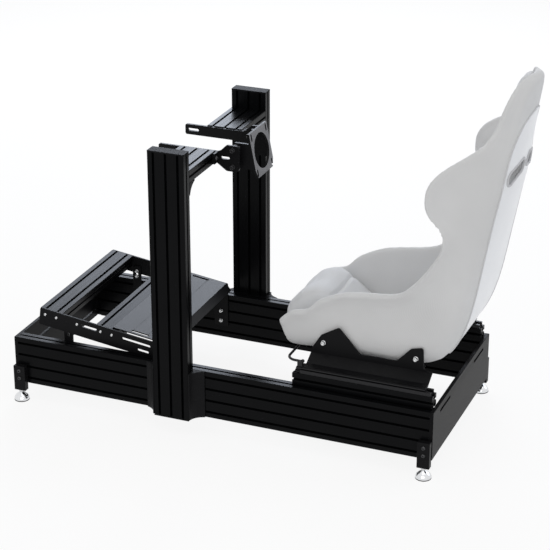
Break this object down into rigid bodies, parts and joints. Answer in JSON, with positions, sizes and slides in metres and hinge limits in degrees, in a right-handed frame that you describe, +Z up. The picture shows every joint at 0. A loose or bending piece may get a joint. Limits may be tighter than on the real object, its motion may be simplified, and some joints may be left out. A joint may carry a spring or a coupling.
{
  "type": "sim racing cockpit",
  "caption": "Free-standing frame of black slotted profile that carries a bucket seat on sliders, a sloping pedal deck and a tilted plate for a wheel base.",
  "frame": {"origin": "on the floor, at the middle of the cockpit's length and width", "axes": "+X the way the driver faces, +Y the driver's left, +Z up"},
  "size_m": [1.6286, 0.68, 1.221],
  "materials": {
    "profile_black": "black anodised, satin",
    "plate_black": "black powder coat",
    "casting_black": "black die casting",
    "cap_plastic": "matte black",
    "slider_steel": "black coated steel",
    "foot_chrome": "polished",
    "seat_shell": "pale grey fabric over a moulded shell",
    "seat_fabric": "pale grey woven fabric"
  },
  "bodies": {
    "frame": {"front_end_plate": "plate_black", "front_left_foot": "foot_chrome", "front_left_foot_block": "casting_black", "front_pedal_bar": "profile_black", "front_right_foot": "foot_chrome", "front_right_foot_block": "casting_black", "front_seat_beam": "profile_black", "heel_plate": "plate_black", "left_base_rail": "profile_black", "left_beam_bracket": "casting_black", "left_front_corner_bracket": "casting_black", "left_leg_spacer": "plate_black", "left_lower_slider": "slider_steel", "left_pedal_leg": "plate_black", "left_pedal_side_plate": "plate_black", "left_rear_corner_bracket": "casting_black", "left_seat_bar": "profile_black", "left_upright": "profile_black", "left_upright_cap": "cap_plastic", "left_wheel_arm": "plate_black", "left_wheel_beam": "profile_black", "rear_end_plate": "plate_black", "rear_left_foot": "foot_chrome", "rear_left_foot_block": "casting_black", "rear_pedal_bar": "profile_black", "rear_right_foot": "foot_chrome", "rear_right_foot_block": "casting_black", "rear_seat_beam": "profile_black", "right_base_rail": "profile_black", "right_beam_bracket": "casting_black", "right_front_corner_bracket": "casting_black", "right_leg_spacer": "plate_black", "right_lower_slider": "slider_steel", "right_pedal_leg": "plate_black", "right_pedal_side_plate": "plate_black", "right_rear_corner_bracket": "casting_black", "right_seat_bar": "profile_black", "right_upright": "profile_black", "right_upright_cap": "cap_plastic", "right_wheel_arm": "plate_black", "right_wheel_beam": "profile_black", "wheel_face_plate": "plate_black"},
    "seat": {"left_upper_slider": "slider_steel", "right_upper_slider": "slider_steel", "left_seat_bracket": "plate_black", "right_seat_bracket": "plate_black", "seat_shell": "seat_shell", "seat_base_cushion": "seat_fabric", "seat_back_cushion": "seat_fabric", "seat_head_pad": "seat_fabric"},
    "handle": {"slider_handle": "slider_steel"}
  },
  "joints": [
    {"name": "seat_slide", "type": "slide", "parent": "frame", "child": "seat", "axis": [1, 0, 0], "range_m": [-0.1, 0.12]},
    {"name": "handle_lift", "type": "hinge", "parent": "seat", "child": "handle", "pos_m": [-0.171, 0, 0.286], "axis": [0, -1, 0], "range_deg": [0, 5]}
  ]
}
